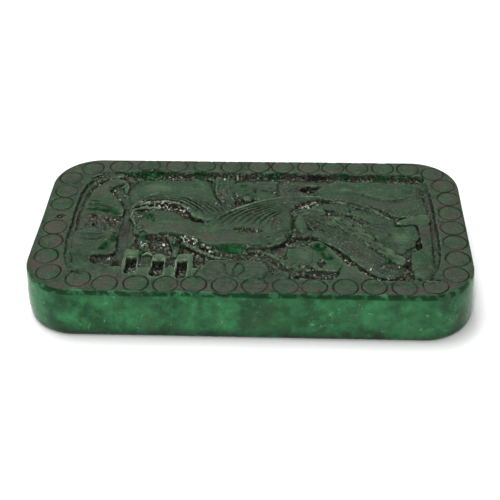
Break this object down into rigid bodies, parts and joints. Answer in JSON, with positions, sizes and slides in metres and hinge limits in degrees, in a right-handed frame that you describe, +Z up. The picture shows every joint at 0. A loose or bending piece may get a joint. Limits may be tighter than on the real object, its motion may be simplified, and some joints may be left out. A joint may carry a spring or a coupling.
{
  "type": "jade plaque",
  "caption": "Carved jade plaque with rounded corners: a long-tailed bird among clouds and rocks in a sunk field, inside a border of drilled rings.",
  "frame": {"origin": "centre of the flat underside, on the surface the plaque lies on", "axes": "+X along the plaque's length, from the bird's head towards its tail; +Y across its width, from the bridge side to the far side; +Z up, out of the carved face"},
  "size_m": [0.111, 0.06, 0.014],
  "materials": {
    "jade": "polished sides, satin border, rough drilled ground in the sunk field"
  },
  "bodies": {
    "root": {"plaque": "jade"}
  },
  "joints": []
}
